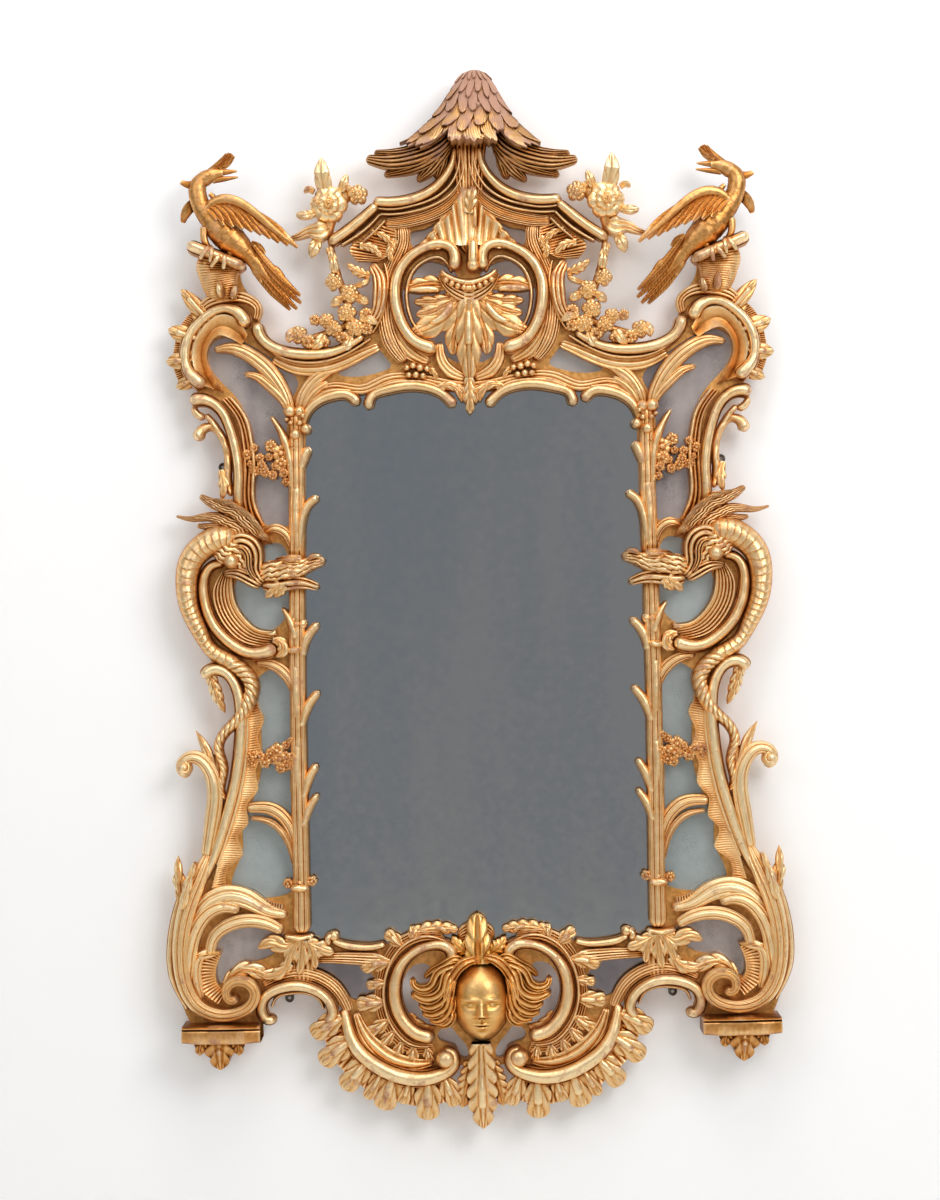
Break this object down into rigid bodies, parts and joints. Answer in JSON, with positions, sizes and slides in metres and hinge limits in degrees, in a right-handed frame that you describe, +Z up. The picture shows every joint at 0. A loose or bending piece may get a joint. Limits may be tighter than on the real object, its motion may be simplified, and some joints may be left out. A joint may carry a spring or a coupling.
{
  "type": "giltwood wall mirror",
  "caption": "Carved giltwood rococo wall mirror with a framed middle plate, shaped side plates, winged dragons, perched birds, a pagoda canopy, a shell palmette and a mask in the apron.",
  "frame": {"origin": "centre of the flat back of the middle backboard, in the plane of the wall", "axes": "+Z up, -Y towards the room, +X to the right as the room sees it"},
  "size_m": [1.1434, 0.146, 1.9001],
  "materials": {
    "gilt_carving": "water gilding over red clay on carved wood, rubbed on the high places",
    "worn_gilding": "old matt oil gilding worn to mauve brown",
    "burnished_gilding": "burnished water gilding",
    "frame_pine": "pine, gilded on the front and edges, bare and aged on the back",
    "back_pine": "bare aged pine",
    "center_glass": "old silvered plate, greyed and lightly foxed",
    "side_glass": "old silvered plate, mottled",
    "roundel_glass": "old silvered plate, greenish",
    "foot_glass": "old silvered plate, heavily foxed",
    "apron_glass": "old silvered plate, dark",
    "iron": "black wrought iron",
    "plate_steel": "flat steel plate, dulled"
  },
  "bodies": {
    "root": {"frame_board_left": "frame_pine", "frame_board_right": "frame_pine", "crest_board": "frame_pine", "apron_board": "frame_pine", "crest_plate_left": "side_glass", "upper_side_plate_left": "side_glass", "roundel_plate_left": "roundel_glass", "lower_side_plate_left": "side_glass", "foot_plate_left": "foot_glass", "apron_plate_left": "apron_glass", "backboards_left": "back_pine", "crest_plate_right": "side_glass", "upper_side_plate_right": "side_glass", "roundel_plate_right": "roundel_glass", "lower_side_plate_right": "side_glass", "foot_plate_right": "foot_glass", "apron_plate_right": "apron_glass", "backboards_right": "back_pine", "center_plate": "center_glass", "center_backboard": "back_pine", "glazing_blocks": "back_pine", "backboard_brads": "iron", "wall_plates": "plate_steel", "wall_plate_screws": "iron", "corner_scroll_left": "gilt_carving", "corner_scroll_right": "gilt_carving", "bird_left": "gilt_carving", "bird_right": "gilt_carving", "upper_side_scroll_left": "gilt_carving", "upper_side_scroll_right": "gilt_carving", "dragon_scroll_left": "gilt_carving", "dragon_scroll_right": "gilt_carving", "lower_side_scroll_left": "gilt_carving", "lower_side_scroll_right": "gilt_carving", "foot_bracket_left": "gilt_carving", "foot_bracket_right": "gilt_carving", "foot_volute_left": "gilt_carving", "foot_volute_right": "gilt_carving", "crest_scroll_left": "gilt_carving", "crest_scroll_right": "gilt_carving", "swag_scroll_left": "gilt_carving", "swag_scroll_right": "gilt_carving", "stile_left": "gilt_carving", "stile_right": "gilt_carving", "dragon_left": "gilt_carving", "dragon_right": "gilt_carving", "garland_left": "gilt_carving", "garland_right": "gilt_carving", "mask_scroll_left": "gilt_carving", "mask_scroll_right": "gilt_carving", "apron_scroll_left": "gilt_carving", "apron_scroll_right": "gilt_carving", "crest_neck": "gilt_carving", "palmette": "gilt_carving", "top_rail": "gilt_carving", "bottom_rail": "gilt_carving", "apron_pendant": "gilt_carving", "canopy": "worn_gilding", "mask": "burnished_gilding"}
  },
  "joints": []
}
